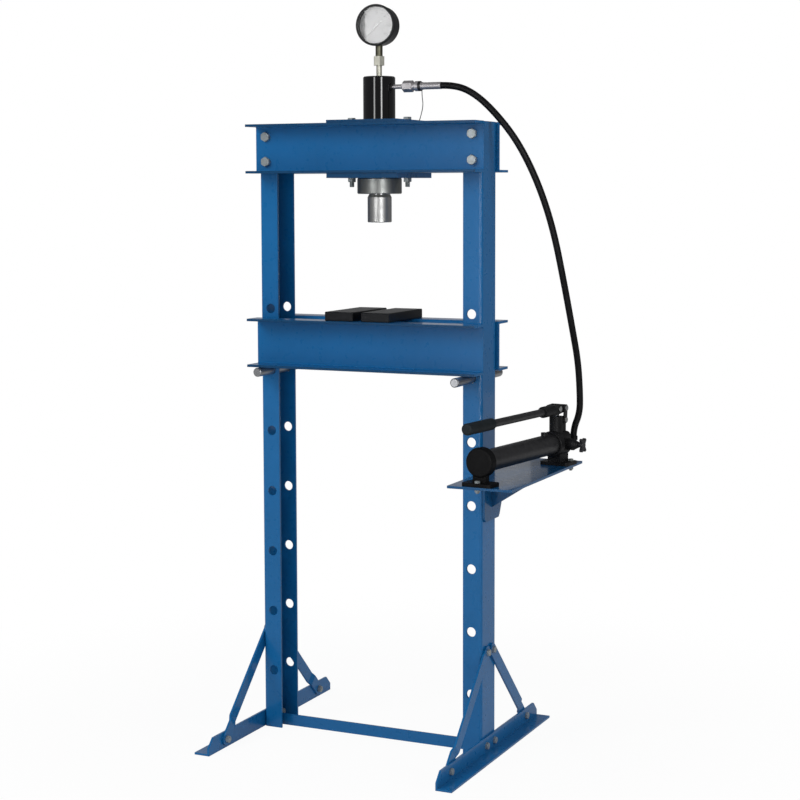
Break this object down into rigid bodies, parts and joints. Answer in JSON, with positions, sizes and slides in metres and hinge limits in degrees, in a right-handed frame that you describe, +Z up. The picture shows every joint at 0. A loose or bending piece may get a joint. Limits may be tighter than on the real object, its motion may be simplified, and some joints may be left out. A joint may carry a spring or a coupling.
{
  "type": "hydraulic shop press",
  "caption": "Floor-standing workshop press: bolted channel frame, pin-set bed with arbor plates, hydraulic ram with gauge, hose and side-mounted hand pump.",
  "frame": {"origin": "on the floor, midway between the columns and midway between their flanges", "axes": "+X to the right, towards the pump; +Y to the back; +Z up along the columns"},
  "size_m": [0.8168, 0.632, 1.78],
  "materials": {
    "blue_paint": "smooth gloss paint",
    "black_paint": "satin paint",
    "gloss_black": "gloss paint",
    "black_steel": "blackened plate",
    "bright_steel": "turned steel",
    "zinc": "zinc plate",
    "chromed": "ground and chromed",
    "bronze": "turned bronze",
    "brass": "turned brass",
    "rubber": "smooth rubber",
    "black_plastic": "moulded",
    "dial_white": "printed face",
    "clear": "flat glass"
  },
  "bodies": {
    "frame": {"column_left": "blue_paint", "column_right": "blue_paint", "top_beam_front": "blue_paint", "top_beam_rear": "blue_paint", "beam_bolts": "zinc", "foot_left": "blue_paint", "foot_right": "blue_paint", "brace_left_front": "blue_paint", "brace_left_rear": "blue_paint", "brace_right_front": "blue_paint", "brace_right_rear": "blue_paint", "foot_bolts": "zinc", "spreader_bar": "blue_paint", "cylinder_plate_top": "blue_paint", "cylinder_plate_bottom": "blue_paint", "plate_bolts": "zinc", "plate_nuts": "zinc", "cylinder_body": "gloss_black", "cylinder_ring_nut": "bright_steel", "cylinder_gland": "bronze", "return_spring": "black_steel", "gauge_case": "black_paint", "gauge_dial": "dial_white", "gauge_glass": "clear", "gauge_stem": "brass", "gauge_union": "zinc", "coupler_nipple": "zinc", "coupler_body": "bright_steel", "coupler_sleeve": "black_steel", "hose_ferrule": "zinc", "hose": "rubber", "hose_elbow": "black_paint", "cap_tether": "black_plastic", "dust_cap": "rubber", "pump_shelf": "blue_paint", "bracket_bolts": "zinc", "pump_bolts": "zinc", "pump_end_cap": "black_paint", "reservoir_tube": "black_paint", "filler_plug": "black_plastic", "pump_head": "black_paint"},
    "bed": {"bed_channel_front": "blue_paint", "bed_channel_rear": "blue_paint", "bed_spacers": "blue_paint"},
    "left_pin": {"bed_pin_left": "zinc"},
    "right_pin": {"bed_pin_right": "zinc"},
    "left_arbor": {"arbor_plate_left": "black_steel"},
    "right_arbor": {"arbor_plate_right": "black_steel"},
    "ram_unit": {"ram": "chromed", "ram_seal": "rubber", "ram_nose": "bright_steel"},
    "needle": {"gauge_needle": "black_paint"},
    "link": {"link_plates": "black_steel", "link_pins": "zinc"},
    "lever": {"lever_socket": "black_paint", "handle_rod": "black_paint", "handle_grip": "rubber"},
    "plunger": {"pump_plunger": "chromed", "plunger_pin": "zinc"},
    "valve": {"release_knob": "black_paint"}
  },
  "joints": [
    {"name": "ram_slide", "type": "slide", "parent": "frame", "child": "ram_unit", "axis": [0, 0, -1], "range_m": [0, 0.15], "stiffness_N_per_m": 600, "springref_m": -0.15, "deforming": ["return_spring"]},
    {"name": "bed_slide", "type": "slide", "parent": "frame", "child": "bed", "axis": [0, 0, -1], "range_m": [-0.151, 0]},
    {"name": "left_pin_slide", "type": "slide", "parent": "frame", "child": "left_pin", "axis": [0, -1, 0], "range_m": [0, 0.2]},
    {"name": "right_pin_slide", "type": "slide", "parent": "frame", "child": "right_pin", "axis": [0, -1, 0], "range_m": [0, 0.17]},
    {"name": "left_arbor_slide", "type": "slide", "parent": "bed", "child": "left_arbor", "axis": [-1, 0, 0], "range_m": [0, 0.12]},
    {"name": "right_arbor_slide", "type": "slide", "parent": "bed", "child": "right_arbor", "axis": [1, 0, 0], "range_m": [0, 0.12]},
    {"name": "needle_turn", "type": "hinge", "parent": "frame", "child": "needle", "pos_m": [0.01, 0, 1.731], "axis": [-0.1045, 0.9945, 0], "range_deg": [0, 270], "stiffness_Nm_per_rad": 0.002, "springref_deg": -5.73},
    {"name": "link_hinge", "type": "hinge", "parent": "frame", "child": "link", "pos_m": [0.41464, 0.15968, 0.789], "axis": [-0.9914, 0.1305, 0], "range_deg": [-12, 0.2]},
    {"name": "lever_hinge", "type": "hinge", "parent": "link", "child": "lever", "pos_m": [0.41491, 0.16166, 0.817], "axis": [-0.9914, 0.1305, 0], "range_deg": [0, 56.2]},
    {"name": "plunger_slide", "type": "slide", "parent": "frame", "child": "plunger", "axis": [0, 0, 1], "range_m": [-0.0005, 0.018]},
    {"name": "valve_turn", "type": "hinge", "parent": "frame", "child": "valve", "pos_m": [0.46951, 0.14741, 0.731], "axis": [0.9914, -0.1305, 0], "range_deg": [0, 270]}
  ],
  "couplings": [
    {"joint": "link_hinge", "follows": "lever_hinge", "ratio": -0.2084},
    {"joint": "plunger_slide", "follows": "lever_hinge", "m_per_rad": 0.0175}
  ]
}
